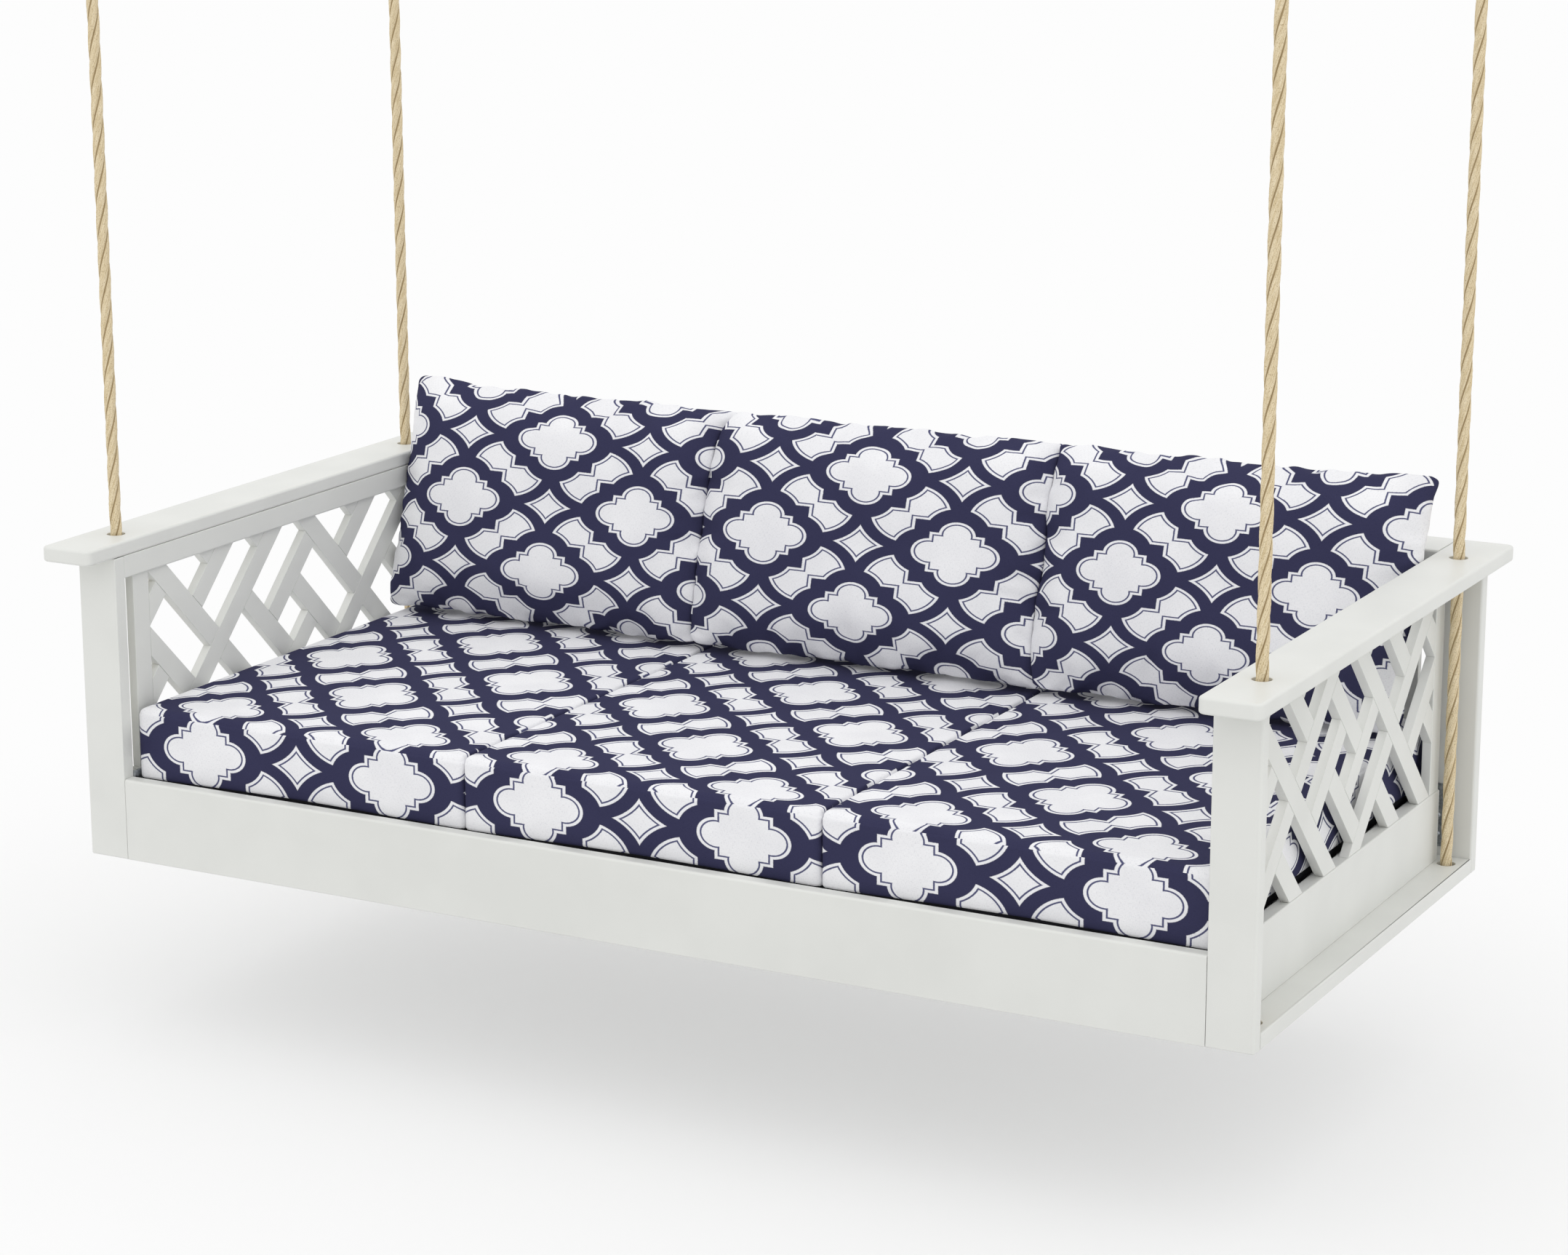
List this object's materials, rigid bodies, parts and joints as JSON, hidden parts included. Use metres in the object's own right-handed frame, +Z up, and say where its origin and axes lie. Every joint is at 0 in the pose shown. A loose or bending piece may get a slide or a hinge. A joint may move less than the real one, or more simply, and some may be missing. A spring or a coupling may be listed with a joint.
{
  "type": "porch swing seat",
  "caption": "Hanging porch swing with lattice ends, flat arm boards, loose seat and back cushions, and a twisted rope at each corner.",
  "frame": {"origin": "on the ceiling, midway between the four hangers", "axes": "+Z up, front of the seat towards -Y, +X to the sitter's left, along the arms' spacing"},
  "size_m": [2.144, 1.136, 1.7],
  "materials": {
    "white_paint": "planed boards with smooth off-white paint",
    "cushion_cloth": "woven outdoor cloth with a navy and off-white trellis",
    "rope": "three-strand twisted rope, matt",
    "zinc_steel": "zinc-plated steel"
  },
  "bodies": {
    "ceiling_hangers": {"hanger_front_left": "zinc_steel", "hanger_bolt_front_left": "zinc_steel", "hanger_rear_left": "zinc_steel", "hanger_bolt_rear_left": "zinc_steel", "hanger_front_right": "zinc_steel", "hanger_bolt_front_right": "zinc_steel", "hanger_rear_right": "zinc_steel", "hanger_bolt_rear_right": "zinc_steel"},
    "seat": {"post_front_left": "white_paint", "post_rear_left": "white_paint", "arm_left": "white_paint", "ledge_left": "white_paint", "end_rail_left": "white_paint", "end_top_rail_left": "white_paint", "end_lattice_left": "white_paint", "corner_angle_front_left": "zinc_steel", "corner_angle_rear_left": "zinc_steel", "post_front_right": "white_paint", "post_rear_right": "white_paint", "arm_right": "white_paint", "ledge_right": "white_paint", "end_rail_right": "white_paint", "end_top_rail_right": "white_paint", "end_lattice_right": "white_paint", "corner_angle_front_right": "zinc_steel", "corner_angle_rear_right": "zinc_steel", "front_rail": "white_paint", "back_rail": "white_paint", "back_cap": "white_paint", "back_panel": "white_paint", "joist_1": "white_paint", "joist_2": "white_paint", "joist_3": "white_paint", "deck_board_1": "white_paint", "deck_board_2": "white_paint", "deck_board_3": "white_paint", "deck_board_4": "white_paint", "deck_board_5": "white_paint", "seat_cushion_left": "cushion_cloth", "seat_cushion_middle": "cushion_cloth", "seat_cushion_right": "cushion_cloth", "back_cushion_left": "cushion_cloth", "back_cushion_middle": "cushion_cloth", "back_cushion_right": "cushion_cloth", "rope_front_left_lower": "rope", "rope_rear_left_lower": "rope", "rope_front_right_lower": "rope", "rope_rear_right_lower": "rope", "rope_stop_front_left": "zinc_steel", "rope_stop_rear_left": "zinc_steel", "rope_stop_front_right": "zinc_steel", "rope_stop_rear_right": "zinc_steel"},
    "rope_front_left_upper": {"rope_front_left": "rope", "thimble_front_left": "zinc_steel"},
    "rope_rear_left_upper": {"rope_rear_left": "rope", "thimble_rear_left": "zinc_steel"},
    "rope_front_right_upper": {"rope_front_right": "rope", "thimble_front_right": "zinc_steel"},
    "rope_rear_right_upper": {"rope_rear_right": "rope", "thimble_rear_right": "zinc_steel"}
  },
  "joints": [
    {"name": "swing", "type": "hinge", "parent": "ceiling_hangers", "child": "rope_front_left_upper", "pos_m": [-1.017, -0.434, -0.041], "axis": [1, 0, 0], "range_deg": [-15, 15]},
    {"name": "seat_on_front_left_rope", "type": "hinge", "parent": "rope_front_left_upper", "child": "seat", "pos_m": [-1.017, -0.434, -1.1703], "axis": [1, 0, 0], "range_deg": [-15, 15]},
    {"name": "rear_left_rope_in_arm", "type": "hinge", "parent": "seat", "child": "rope_rear_left_upper", "pos_m": [-1.017, 0.434, -1.1703], "axis": [1, 0, 0], "range_deg": [-15, 15]},
    {"name": "front_right_rope_in_arm", "type": "hinge", "parent": "seat", "child": "rope_front_right_upper", "pos_m": [1.017, -0.434, -1.1703], "axis": [1, 0, 0], "range_deg": [-15, 15]},
    {"name": "rear_right_rope_in_arm", "type": "hinge", "parent": "seat", "child": "rope_rear_right_upper", "pos_m": [1.017, 0.434, -1.1703], "axis": [1, 0, 0], "range_deg": [-15, 15]}
  ],
  "couplings": [
    {"joint": "seat_on_front_left_rope", "follows": "swing", "ratio": -1},
    {"joint": "rear_left_rope_in_arm", "follows": "swing", "ratio": 1},
    {"joint": "front_right_rope_in_arm", "follows": "swing", "ratio": 1},
    {"joint": "rear_right_rope_in_arm", "follows": "swing", "ratio": 1}
  ]
}
